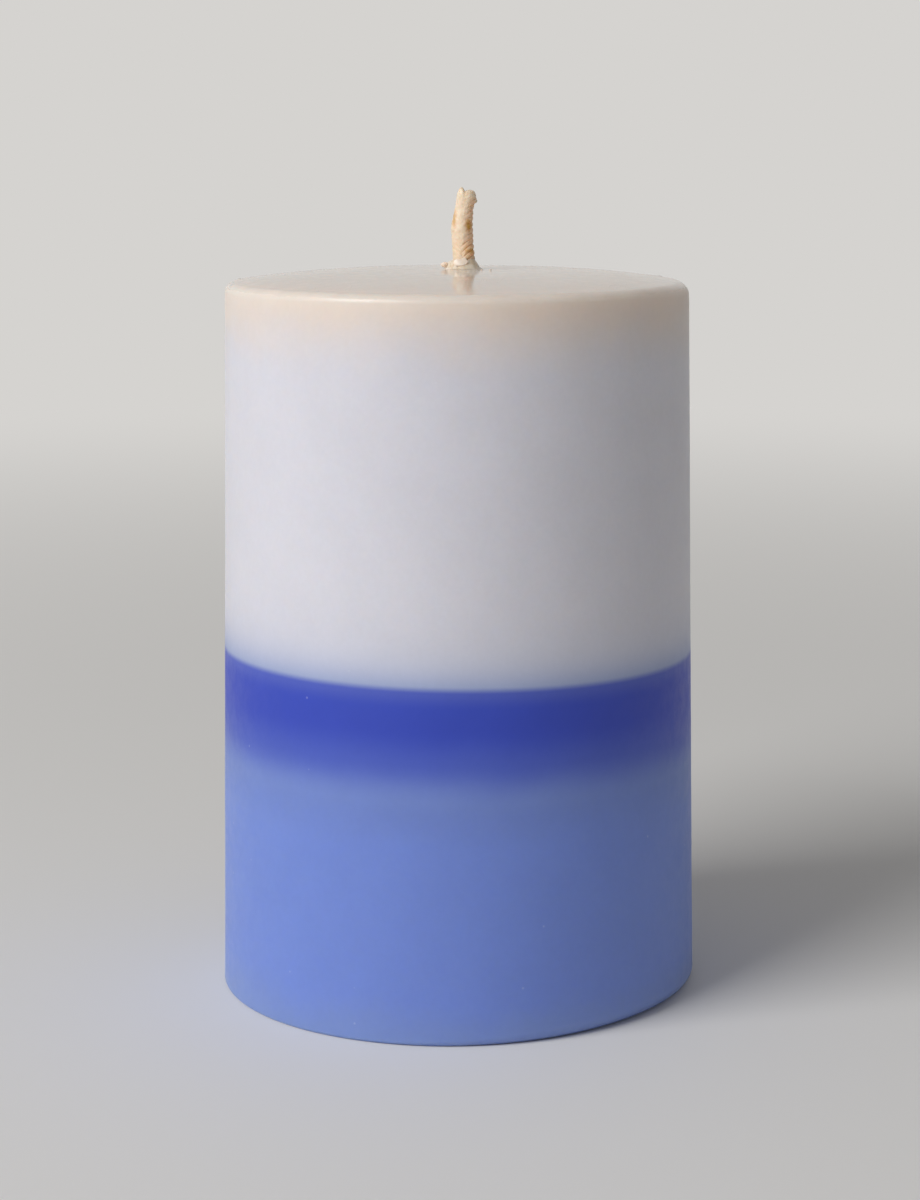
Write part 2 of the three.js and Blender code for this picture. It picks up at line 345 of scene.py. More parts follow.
class Tree:
    """A material's nodes, with short ways to add the usual ones."""

    def __init__(self, name):
        self.material = bpy.data.materials.new(name)
        self.material.use_nodes = True
        self.nodes = self.material.node_tree.nodes
        self.links = self.material.node_tree.links
        self.nodes.clear()
        self.shader = self.nodes.new("ShaderNodeBsdfPrincipled")
        self.output = self.nodes.new("ShaderNodeOutputMaterial")
        self.links.new(self.shader.outputs["BSDF"], self.output.inputs["Surface"])
        self.place = self.nodes.new("ShaderNodeTexCoord").outputs["Object"]

    def feed(self, socket, value):
        """Links a socket to a socket, or sets it to a plain value."""
        if isinstance(value, bpy.types.NodeSocket):
            self.links.new(value, socket)
        elif isinstance(value, tuple) and len(value) == 3 and socket.type == "RGBA":
            socket.default_value = (*value, 1)
        else:
            socket.default_value = value

    def math(self, operation, *values):
        node = self.nodes.new("ShaderNodeMath")
        node.operation = operation
        for socket, value in zip(node.inputs, values):
            self.feed(socket, value)
        return node.outputs[0]

    def axes(self):
        node = self.nodes.new("ShaderNodeSeparateXYZ")
        self.feed(node.inputs[0], self.place)
        return node.outputs

    def level(self):
        """Height over the table in millimetres."""
        return self.math("DIVIDE", self.axes()["Z"], MM)

    def radius(self):
        """Distance from the candle's axis in millimetres."""
        axes = self.axes()
        square = self.math("ADD", self.math("POWER", axes["X"], 2.0), self.math("POWER", axes["Y"], 2.0))
        return self.math("DIVIDE", self.math("SQRT", square), MM)

    def distance(self, centre, size):
        """Distance from a place in millimetres, 1 at the surface of an ellipsoid of that size."""
        node = self.nodes.new("ShaderNodeMapping")
        node.vector_type = "TEXTURE"
        self.feed(node.inputs["Vector"], self.place)
        node.inputs["Location"].default_value = tuple(value * MM for value in centre)
        node.inputs["Scale"].default_value = tuple(value * MM for value in size)
        length = self.nodes.new("ShaderNodeVectorMath")
        length.operation = "LENGTH"
        self.feed(length.inputs[0], node.outputs[0])
        return length.outputs["Value"]

    def stretched(self, lengthening, turn=0.0):
        """Coordinates in which a pattern comes out longer on each axis, in a frame turned about Z."""
        node = self.nodes.new("ShaderNodeMapping")
        node.vector_type = "TEXTURE"
        self.feed(node.inputs["Vector"], self.place)
        node.inputs["Scale"].default_value = lengthening
        node.inputs["Rotation"].default_value = (0, 0, turn)
        return node.outputs[0]

    def grain(self, size_mm, detail=2.0, rough=0.5, source=None):
        """Noise from 0 to 1 with features of about that size."""
        node = self.nodes.new("ShaderNodeTexNoise")
        self.feed(node.inputs["Vector"], source or self.place)
        node.inputs["Scale"].default_value = 1 / (size_mm * MM)
        node.inputs["Detail"].default_value = detail
        node.inputs["Roughness"].default_value = rough
        return node.outputs["Fac"]

    def spots(self, spacing_mm, size_mm, kept=1.0):
        """Round spots of 1 on 0, one in each cell, of which only a share is kept."""
        node = self.nodes.new("ShaderNodeTexVoronoi")
        self.feed(node.inputs["Vector"], self.place)
        node.inputs["Scale"].default_value = 1 / (spacing_mm * MM)
        near = self.remap(node.outputs["Distance"], size_mm / spacing_mm, 0.5 * size_mm / spacing_mm)
        pick = self.nodes.new("ShaderNodeSeparateColor")
        self.feed(pick.inputs[0], node.outputs["Color"])
        chosen = self.math("LESS_THAN", pick.outputs[0], kept)
        return self.math("MULTIPLY", near, chosen)

    def remap(self, value, low, high, to_low=0.0, to_high=1.0):
        """A smooth step of value from low to high."""
        node = self.nodes.new("ShaderNodeMapRange")
        node.interpolation_type = "SMOOTHSTEP"
        self.feed(node.inputs["Value"], value)
        node.inputs["From Min"].default_value = low
        node.inputs["From Max"].default_value = high
        node.inputs["To Min"].default_value = to_low
        node.inputs["To Max"].default_value = to_high
        return node.outputs[0]

    def mix(self, factor, first, second, blend="MIX"):
        node = self.nodes.new("ShaderNodeMix")
        node.data_type = "RGBA"
        node.blend_type = blend
        self.feed(node.inputs[0], factor)
        self.feed(node.inputs[6], first)
        self.feed(node.inputs[7], second)
        return node.outputs[2]

    def shade(self, paint, factor):
        """Paint made lighter or darker by a factor near 1."""
        grey = self.mix(factor, (0.0, 0.0, 0.0), (1.0, 1.0, 1.0))
        return self.mix(1.0, paint, grey, "MULTIPLY")

    def attribute(self, name):
        node = self.nodes.new("ShaderNodeAttribute")
        node.attribute_name = name
        return node.outputs["Fac"]

    def bumps(self, height, depth_mm, below=None):
        """A normal from a height of 0 to 1 that stands for a real depth."""
        node = self.nodes.new("ShaderNodeBump")
        node.inputs["Strength"].default_value = 1
        node.inputs["Distance"].default_value = depth_mm * MM
        self.feed(node.inputs["Height"], height)
        if below is not None:
            self.feed(node.inputs["Normal"], below)
        return node.outputs[0]

    def finish(self, **sockets):
        """Sets the shader's sockets, with _ for a space in their names, and returns the material."""
        for name, value in sockets.items():
            self.feed(self.shader.inputs[name.replace("_", " ")], value)
        return self.material


def layered_colour(tree, wax):
    """The colours of the three pours by height, with the dye's bleed at both edges of the band and a painted
    warm glow of light through the wax under the rim.
    """
    level = tree.math("MULTIPLY_ADD", tree.axes()["X"], SEAM_SLOPE, tree.level())
    cloudy = tree.math("MULTIPLY_ADD", tree.grain(10, 3), 6.0, tree.math("SUBTRACT", level, 3.0))
    poured = tree.math("MULTIPLY_ADD", tree.grain(12, 3), 1.8, tree.math("SUBTRACT", level, 0.9))
    # Painted warm glow of light through the rim: the pale wax turns to the rim glow colour over about the top
    # 15 mm
    upper = tree.mix(tree.remap(cloudy, LAND_LEVEL - 15, LAND_LEVEL - 2.5), wax.pale[:], wax.rim_glow[:])
    over_band = tree.math("MAXIMUM", tree.math("SUBTRACT", level, SEAM_HIGH - 0.4), 0.0)
    reach = tree.math("POWER", tree.math("DIVIDE", over_band, 3.8), 1.2)
    bleed = tree.math("EXPONENT", tree.math("MULTIPLY", reach, -1.0))
    upper = tree.mix(bleed, upper, wax.halo[:])
    lower = tree.mix(tree.remap(cloudy, 1, 8), wax.frosting[:], wax.medium_blue[:])
    lower = tree.mix(tree.remap(cloudy, SEAM_LOW - 14, SEAM_LOW - 5), lower, wax.under_band[:])
    mixed = tree.remap(poured, SEAM_LOW - 6.5, SEAM_LOW - 0.1, 0.0, 0.75)
    dyed = tree.math("ADD", mixed, tree.remap(poured, SEAM_LOW - 1.5, SEAM_LOW + 5, 0.0, 0.25))
    lower = tree.mix(dyed, lower, wax.deep_blue[:])
    lower = tree.mix(tree.remap(level, SEAM_HIGH - 3.5, SEAM_HIGH - 0.4, 0.0, 0.15), lower, wax.halo[:])
    return tree.mix(tree.remap(level, SEAM_HIGH - 1.0, SEAM_HIGH + 0.2), lower, upper)


def wax_material(name, wax, seams):
    """Cast wax: satin sides, a glossy scratched top face, faint mottling and fine pale specks."""
    tree = Tree(name)
    level = tree.level()
    cloud = tree.remap(tree.grain(8, 4, 0.6), 0.3, 0.7, 0.975, 1.0)
    mottling = tree.math("MULTIPLY", tree.remap(tree.grain(0.9, 3, 0.6), 0.3, 0.7, 0.982, 1.0), cloud)
    paint = tree.shade(layered_colour(tree, wax), mottling)
    specks = tree.math("MULTIPLY", tree.spots(3.2, 0.24, 0.3), 0.16)
    paint = tree.mix(specks, paint, (0.86, 0.89, 0.95))
    face = tree.remap(level, LAND_LEVEL - 3.2, LAND_LEVEL - 2.0)
    uneven = tree.grain(2.2, 3, 0.6)
    side = tree.remap(uneven, 0.3, 0.7, wax.side_roughness - 0.04, wax.side_roughness + 0.06)
    gloss = tree.remap(uneven, 0.3, 0.7, wax.face_roughness - 0.03, wax.face_roughness + 0.05)
    roughness = tree.math("MULTIPLY_ADD", face, tree.math("SUBTRACT", gloss, side), side)
    orange_peel = tree.math("MULTIPLY", tree.grain(1.4, 3, 0.55), tree.math("MULTIPLY_ADD", face, -0.96, 1.0))
    normal = tree.bumps(scratches(tree, face), 0.014, tree.bumps(orange_peel, 0.018))
    weight = wax.translucency
    for seam in seams:
        from_seam = tree.math("ABSOLUTE", tree.math("SUBTRACT", level, seam))
        weight = tree.math("MULTIPLY", tree.remap(from_seam, 2.5, 9.0), weight)
    return tree.finish(
        Base_Color=paint, Roughness=roughness, Normal=normal, Subsurface_Weight=weight,
        Subsurface_Radius=(1.0, 0.8, 0.65), Subsurface_Scale=wax.light_depth, IOR=WAX_IOR,
    )


# Scuffed places on the top face: right of the axis, behind it, and radius
SCUFFS = ((-19.0, -26.0, 9.0), (24.0, -22.0, 8.0), (4.0, -21.0, 6.0), (-12.0, 24.0, 8.0))


def scratches(tree, face):
    """A few long curved scratches, as a height that is below 1 only at the scuffs of the top face."""
    lines = 1.0
    for turn, long, wide in ((0.4, 16.0, 3.2), (1.5, 11.0, 2.6), (2.6, 20.0, 3.8)):
        thread = tree.grain(wide, 1, 0.4, tree.stretched((long / wide, 1.0, 1.0), turn))
        groove = tree.remap(tree.math("ABSOLUTE", tree.math("SUBTRACT", thread, 0.5)), 0.002, 0.02)
        lines = tree.math("MULTIPLY", groove, lines)
    scuffed = 0.0
    for right, back, size in SCUFFS:
        far = tree.distance((right, back, LAND_LEVEL), (size, size, size))
        scuffed = tree.math("MAXIMUM", tree.remap(far, 1.0, 0.3), scuffed)
    inside_rim = tree.remap(tree.radius(), SEAM_RADIUS - 1.8, SEAM_RADIUS - 2.8)
    shown = tree.math("MULTIPLY", tree.math("MULTIPLY", face, inside_rim), scuffed)
    return tree.math("SUBTRACT", 1.0, tree.math("MULTIPLY", shown, tree.math("SUBTRACT", 1.0, lines)))


def drawn_wax_material(name, first, second, light_depth_mm):
    """Thin wax that was drawn up or broken off: milky, glossy and uneven."""
    tree = Tree(name)
    paint = tree.mix(tree.remap(tree.grain(0.8, 3), 0.35, 0.65), first, second)
    return tree.finish(
        Base_Color=paint, Roughness=tree.remap(tree.grain(0.6), 0.3, 0.7, 0.2, 0.34),
        Normal=tree.bumps(tree.grain(0.5, 3, 0.5), 0.015), Subsurface_Weight=0.5,
        Subsurface_Radius=(1.0, 0.85, 0.7), Subsurface_Scale=light_depth_mm * MM, IOR=WAX_IOR,
    )


# Stains on the wick: right of the axis, behind it, over the top face, half width, half height, strength
STAINS = (
    (1.8, -1.1, 6.95, 0.78, 1.35, 0.85),
    (1.9, -1.0, 6.5, 0.42, 0.6, 0.8),
    (-0.5, -0.75, 7.9, 0.5, 2.1, 0.65),
    (2.2, -0.9, 2.8, 0.5, 0.7, 0.75),
    (1.6, -1.4, 2.95, 0.55, 0.4, 0.5),
    (0.6, 1.5, 5.45, 0.7, 0.6, 0.5),
)


def wick_material(wick):
    """Cotton soaked in wax: light peach, with painted shade between the yarns, whiter under wax, with the
    warmer cotton showing as painted glow where the coat thins at the right, and a few stains.
    """
    tree = Tree("wax_primed_cotton")
    fibres = tree.grain(0.12, 2, 0.6, tree.stretched((1.0, 1.0, 2.2)))
    coat = tree.attribute("wax_coat_and_glow")
    paint = tree.mix(tree.remap(fibres, 0.3, 0.75, 0.0, 0.5), wick.cotton[:], wick.coat[:])
    # A thin coat shows the warmer cotton; at the right edge this is painted glow of light through the wick
    paint = tree.mix(coat, paint, wick.coat[:])
    # Painted shade in the grooves between the yarns, weaker where the wax coat fills them
    paint = tree.mix(tree.math("MULTIPLY", tree.attribute("groove"), 0.8), paint, wick.groove[:])
    ragged = tree.math("MULTIPLY", tree.math("SUBTRACT", tree.grain(0.45, 3), 0.5), 1.0)
    for right, back, up, wide, high, strength in STAINS:
        far = tree.distance((right, back, LAND_LEVEL + up), (wide, 1.2, high))
        mark = tree.remap(tree.math("ADD", far, ragged), 1.1, 0.2, 0.0, strength)
        paint = tree.mix(mark, paint, wick.stain[:])
    return tree.finish(
        Base_Color=paint, Roughness=tree.remap(coat, 0, 1, 0.62, 0.36), Normal=tree.bumps(fibres, 0.025),
        Subsurface_Weight=0.6, Subsurface_Radius=(1.0, 0.8, 0.65), Subsurface_Scale=1.4 * MM, IOR=WAX_IOR,
    )


def steel_material(metal):
    """Bright tinplate with fine turning marks and a few dull patches."""
    tree = Tree("tinplate")
    rings = tree.math("SINE", tree.math("MULTIPLY", tree.radius(), TURN / 0.22))
    patches = tree.remap(tree.grain(3.0, 3), 0.35, 0.65, 0.0, 0.25)
    paint = tree.mix(patches, metal.tinplate[:], srgb(168, 166, 160))
    return tree.finish(
        Base_Color=paint, Metallic=1.0, Roughness=tree.remap(tree.grain(1.2, 3), 0.3, 0.7, 0.24, 0.4),
        Normal=tree.bumps(tree.math("MULTIPLY_ADD", rings, 0.5, 0.5), 0.004),
    )


# The candle's pieces, each made by its own operator


def wavy(grid, wax):
    """Pushes the points of a cast side in and out a little, and leaves the seams and the bore."""
    radius = np.hypot(grid[..., 0], grid[..., 1])
    outer = ease((radius - 0.8 * SEAM_RADIUS) / (0.15 * SEAM_RADIUS))
    broad = ripple(grid, 24.0, 3) + 0.45 * ripple(grid, 9.0, 5) + 0.2 * ripple(grid, 3.5, 11) - 0.8
    push = 1 + outer * broad * (wax.waviness / MM) / np.maximum(radius, 1)
    grid[..., 0] *= push
    grid[..., 1] *= push
    return grid


class CANDLE_OT_base_layer(bpy.types.Operator):
    """Pours the medium-blue layer, open underneath where the wax shrank round the wick"""

    bl_idname = "candle.base_layer"
    bl_label = "Base Layer"

    def execute(self, context):
        wax = settings("wax")
        well_top = TOP_UP_HIGH.z
        worn_side = math.radians(-38)

        def profile(angle):
            edge = (wax.foot_radius + wax.foot_wear * bump(apart(angle, worn_side), 0.8)) / MM
            foot = side_radius(0) - edge
            return [
                *line((WELL_CEILING, well_top), (WELL_MOUTH, 0), 8),
                *line((WELL_MOUTH, 0), (foot, 0), 14),
                *arc(foot, edge, edge, -90, 0, 8),
                *line((side_radius(edge + 0.5), edge + 0.5), (side_radius(SEAM_LOW), SEAM_LOW), 34),
                *line((side_radius(SEAM_LOW), SEAM_LOW), (CHANNEL_RADIUS, SEAM_LOW), 8),
                *line((CHANNEL_RADIUS, SEAM_LOW), (CHANNEL_RADIUS, well_top), 4),
                (CHANNEL_RADIUS, well_top),
            ]

        grid = wavy(move_to_channel(turned(profile, WAX_SIDES), CHANNEL_RADIUS, WELL_CEILING), wax)
        piece = ring_body("medium_blue_base", grid)
        dress(piece, wax_material("medium_blue_wax", wax, [SEAM_LOW]), "medium_blue_wax", "wax_base_layer")
        return {"FINISHED"}


class CANDLE_OT_middle_band(bpy.types.Operator):
    """Pours the narrow deep-blue band"""

    bl_idname = "candle.middle_band"
    bl_label = "Middle Band"

    def execute(self, context):
        wax = settings("wax")
        profile = [
            *line((CHANNEL_RADIUS, SEAM_LOW), (side_radius(SEAM_LOW), SEAM_LOW), 8),
            *line((side_radius(SEAM_LOW), SEAM_LOW), (side_radius(SEAM_HIGH), SEAM_HIGH), 12),
            *line((side_radius(SEAM_HIGH), SEAM_HIGH), (CHANNEL_RADIUS, SEAM_HIGH), 8),
            *line((CHANNEL_RADIUS, SEAM_HIGH), (CHANNEL_RADIUS, SEAM_LOW), 3),
        ]
        grid = move_to_channel(turned(lambda angle: profile, WAX_SIDES), CHANNEL_RADIUS, WELL_CEILING)
        piece = ring_body("deep_blue_band", wavy(grid, wax))
        finish = wax_material("deep_blue_wax", wax, [SEAM_LOW, SEAM_HIGH])
        dress(piece, finish, "deep_blue_wax", "wax_middle_band")
        return {"FINISHED"}


# Marks round the rim: angle in degrees from the right, counted anticlockwise from above, width along
# the rim in millimetres, and share of the full depth, below 0 where wax was pushed up
RIM_MARKS = (
    (21, 1.4, -0.7), (32, 2.2, 0.7), (38, 1.6, -0.9), (57, 1.6, -0.8), (135, 1.3, -0.7), (141, 1.8, -0.9),
    (172, 1.2, -0.9), (234, 1.4, 0.3), (242, 1.0, 0.35), (318, 2.2, 0.3),
)


def worn_rim(grid, wax):
    """Small dents, bumps and a faint unevenness round the rim."""
    rim_level = LAND_LEVEL - wax.crown_rise / MM
    rim_radius = side_radius(rim_level) - 0.4 * wax.rim_radius / MM
    radius = np.hypot(grid[..., 0], grid[..., 1])
    angle = np.arctan2(grid[..., 1], grid[..., 0])
    near = bump(radius - rim_radius, 1.3) * bump(grid[..., 2] - rim_level, 1.4)
    depth = 0.5 * ripple(grid, 5.0, 21) + 0.3 * ripple(grid, 1.7, 22) + 0.2
    for centre, width, strength in RIM_MARKS:
        along = apart(angle, math.radians(centre)) * rim_radius
        depth = depth + strength * bump(along, width / 2)
    grid[..., 2] -= near * depth * wax.rim_wear / MM
    return grid


class CANDLE_OT_top_layer(bpy.types.Operator):
    """Pours the pale layer with its rounded rim and crowned glossy face"""

    bl_idname = "candle.top_layer"
    bl_label = "Top Layer"

    def execute(self, context):
        wax = settings("wax")
        rim_level = LAND_LEVEL - wax.crown_rise / MM
        land = WICK_LAND_RADIUS

        def profile(angle):
            rounding = (wax.rim_radius + wax.rim_softening * bump(apart(angle, 0.0), 0.6)) / MM
            rim_here = rim_level + wax.top_tilt / MM * math.cos(angle)
            shoulder = rim_here - rounding
            face_edge = side_radius(rim_here) - rounding
            crown = LAND_LEVEL - rim_here
            rise = [
                (face_edge + (land - face_edge) * s, rim_here + crown * (1 - (1 - s) ** CROWN_FULLNESS))
                for s in np.linspace(0, 1, 34)[1:]
            ]
            return [
                *line((CHANNEL_RADIUS, SEAM_HIGH), (side_radius(SEAM_HIGH), SEAM_HIGH), 8),
                *line((side_radius(SEAM_HIGH), SEAM_HIGH), (side_radius(shoulder), shoulder), 46),
                *arc(face_edge, shoulder, rounding, 0, 90, 14),
                *rise,
                *line((land - 0.8, LAND_LEVEL), (CHANNEL_RADIUS, LAND_LEVEL), 6),
                *line((CHANNEL_RADIUS, LAND_LEVEL), (CHANNEL_RADIUS, SEAM_HIGH), 5),
            ]

        grid = move_to_channel(turned(profile, WAX_SIDES), CHANNEL_RADIUS, WELL_CEILING)
        radius = np.hypot(grid[..., 0], grid[..., 1])
        open_face = ease(grid[..., 2] - rim_level + 1) * ease((radius - CHANNEL_RADIUS) / land)
        swell = 0.06 * ripple(grid, 18.0, 31) + 0.01 * ripple(grid, 7.0, 32) - 0.05
        grid = worn_rim(wavy(grid, wax), wax)
        grid[..., 2] += open_face * swell
        piece = ring_body("pale_top", grid)
        dress(piece, wax_material("pale_wax", wax, [SEAM_HIGH]), "pale_wax", "wax_top_layer")
        return {"FINISHED"}


class CANDLE_OT_top_up_pour(bpy.types.Operator):
    """Fills the well under the base with the second pour, dished a little where it shrank"""

    bl_idname = "candle.top_up_pour"
    bl_label = "Top-up Pour"

    def execute(self, context):
        wax = settings("wax")
        sink = TOP_UP_LOW.z
        ceiling_radius = WELL_CEILING - 0.02
        mouth_radius = WELL_MOUTH - 0.02
        pocket = SUSTAINER_HIGH.x + FIT_GAP
        pocket_top = SUSTAINER_LOW.z + STEEL_THICKNESS
        neck = NECK_RADIUS + FIT_GAP
        neck_top = NECK_TOP + FIT_GAP
        profile = [
            *line((neck, neck_top), (neck, pocket_top), 4),
            *line((neck, pocket_top), (pocket, pocket_top), 8),
            *line((pocket, pocket_top), (pocket, sink), 2),
            *line((pocket, sink), (mouth_radius, sink * 0.3), 12),
            *line((mouth_radius, sink * 0.3), (ceiling_radius, TOP_UP_HIGH.z), 8),
            *line((ceiling_radius, TOP_UP_HIGH.z), (CHANNEL_RADIUS, TOP_UP_HIGH.z), 4),
            *line((CHANNEL_RADIUS, TOP_UP_HIGH.z), (CHANNEL_RADIUS, neck_top), 4),
        ]
        grid = turned(lambda angle: profile, WAX_SIDES)
        radius = np.hypot(grid[..., 0], grid[..., 1])
        under = (grid[..., 2] < pocket_top - 0.05) * ease((radius - pocket) / 1.0)
        grid[..., 2] += under * 0.12 * np.abs(ripple(grid, 3.0, 41))
        piece = ring_body("top_up_pour", grid)
        dress(piece, wax_material("top_up_wax", wax, [TOP_UP_HIGH.z]), "medium_blue_wax", "base_top_up_pour")
        return {"FINISHED"}


class CANDLE_OT_sustainer(bpy.types.Operator):
    """Stamps the sustainer: a thin disc with two raised rings and a neck crimped on the wick"""

    bl_idname = "candle.sustainer"
    bl_label = "Wick Sustainer"

    def execute(self, context):
        metal = settings("metal")
        low = SUSTAINER_LOW.z
        edge = SUSTAINER_HIGH.x
        bore = CHANNEL_RADIUS
        reach = np.linspace(bore + 0.5, edge - 0.15, 60)
        rings = bump(reach - 0.47 * edge, 0.5) + bump(reach - 0.78 * edge, 0.5)
        sag = rings * metal.rib_height / MM
        under = [(r, low - s) for r, s in zip(reach, sag)]
        over = [(r, low + STEEL_THICKNESS - s) for r, s in zip(reach, sag)][::-1]
        profile = [
            *arc(bore + 0.5, low + 0.5, 0.5, 180, 265, 5),
            *under,
            *arc(edge - 0.15, low + STEEL_THICKNESS / 2, STEEL_THICKNESS / 2, -80, 80, 5),
            *over,
            *arc(bore + 0.5, low + 0.5, 0.2, 265, 180, 4),
            *line((NECK_RADIUS, low + 0.6), (NECK_RADIUS, NECK_TOP - 0.1), 12),
            *arc((bore + NECK_RADIUS) / 2, NECK_TOP - STEEL_THICKNESS / 2, STEEL_THICKNESS / 2, 0, 180, 6),
            *line((bore, NECK_TOP - 0.3), (bore, low + 0.55), 12),
        ]
        grid = turned(lambda angle: profile, SMALL_SIDES)
        theta = np.arctan2(grid[..., 1], grid[..., 0])
        on_neck = ease((grid[..., 2] - low - 2.0) / 1.0) * ease((NECK_TOP - grid[..., 2] - 0.6) / 1.0)
        pinch = 1 - 0.05 * on_neck * np.maximum(0, np.cos(4 * theta)) ** 4
        grid[..., 0] *= pinch
        grid[..., 1] *= pinch
        piece = ring_body("steel_sustainer", grid)
        dress(piece, steel_material(metal), "tinned_steel", "wick_sustainer")
        return {"FINISHED"}


# The wick's outline above the top face: height, sideways place of its middle and half its width
WICK_OUTLINE = np.array((
    (-1.5, 0.96, 1.70),
    (0.0, 0.99, 1.74),
    (2.2, 1.02, 1.72),
    (4.2, 0.82, 1.66),
    (6.35, 0.72, 1.73),
    (7.3, 0.79, 1.62),
    (9.3, 1.07, 1.45),
    (10.2, 1.24, 1.50),
    (11.1, 1.40, 1.60),
    (13.2, 1.44, 1.62),
))
STITCH_PHASE = 0.56
STITCH_SLANT = 1.4
BRAID_FRONT = math.radians(-98)
SECTION_TURN = math.radians(5)
SECTION_POWER = 1.9
STRAND_END = 10.6
TIP_EDGE = 10.95


def wick_middle(height):
    return np.interp(height, WICK_OUTLINE[:, 0], WICK_OUTLINE[:, 1])


def wick_half_width(height):
    return np.interp(height, WICK_OUTLINE[:, 0], WICK_OUTLINE[:, 2])


def wick_section(theta):
    """Reach of the wick's section in a direction: a rounded square with a corner to the front."""
    angle = theta - SECTION_TURN
    power = SECTION_POWER
    return (np.abs(np.cos(angle)) ** power + np.abs(np.sin(angle)) ** power) ** (-1 / power)


def dome(value, centre, reach, power):
    """A rounded hump of height 1, steep at both ends of its reach."""
    away = np.minimum(np.abs(value - centre) / reach, 1)
    return (1 - away ** power) ** (1 / power)


def torn_tip(right, back):
    """Height of the torn end: a pointed flap at the left and a blunt lobe at the right."""
    across = dome(back, 0.0, 1.55, 3.0)
    flap = TIP_EDGE + 1.92 * dome(right, 0.7, 0.84, 1.6) * across
    lobe = TIP_EDGE + 1.45 * dome(right, 1.95, 1.15, 2.4) * across
    return np.maximum(flap, lobe)


def braid_relief(theta, height, wick):
    """Relief of the braid from -1, a groove, to 0, the crest of a yarn, and how far it is a groove, which
    sets the painted shade there.
    """
    across = np.sin(theta - BRAID_FRONT)
    half = np.where(across < 0, 0.5, 0.0)
    place = np.stack([np.cos(theta), np.sin(theta), height / 2], -1)
    uneven = 0.22 * ripple(place, 1.3, 57)
    phase = (height - STITCH_PHASE) / (wick.stitch / MM) - STITCH_SLANT * np.abs(across) + half + uneven
    away = np.abs((phase + 0.5) % 1 - 0.5) * 2
    yarn = 1 - np.sqrt(np.clip(1 - away ** 2, 0.0, 1))
    middle = 0.45 * bump(across, 0.1)
    threads = 0.06 * np.cos(TURN * 4 * phase)
    relief = -np.clip(yarn + middle, 0, 1.2) + threads
    return relief, ease((yarn + 0.5 * middle - 0.35) / 0.5)


def wax_coat_and_glow(theta, height):
    """How thickly priming wax fills the braid: thinner at the right edge and the back, bare at the foot on
    the right. Its thinning at the right edge, the shaded side, also paints in the warm glow of light passing
    through the wick.
    """
    right = np.cos(theta)
    # Painted warm glow: thinning the coat at the right edge lets the warmer cotton colour show on the shaded
    # side
    edge = 0.6 * ease((right - 0.2) / 0.6) * ease((11.6 - height) / 1.5)
    foot = ease((5.2 - height) / 1.6) * (0.25 + 0.72 * ease((right + 0.12) / 0.45))
    back = 0.35 * ease((np.sin(theta) - 0.2) / 0.7)
    return np.clip(0.95 - edge - back, 0, 1) * (1 - foot)


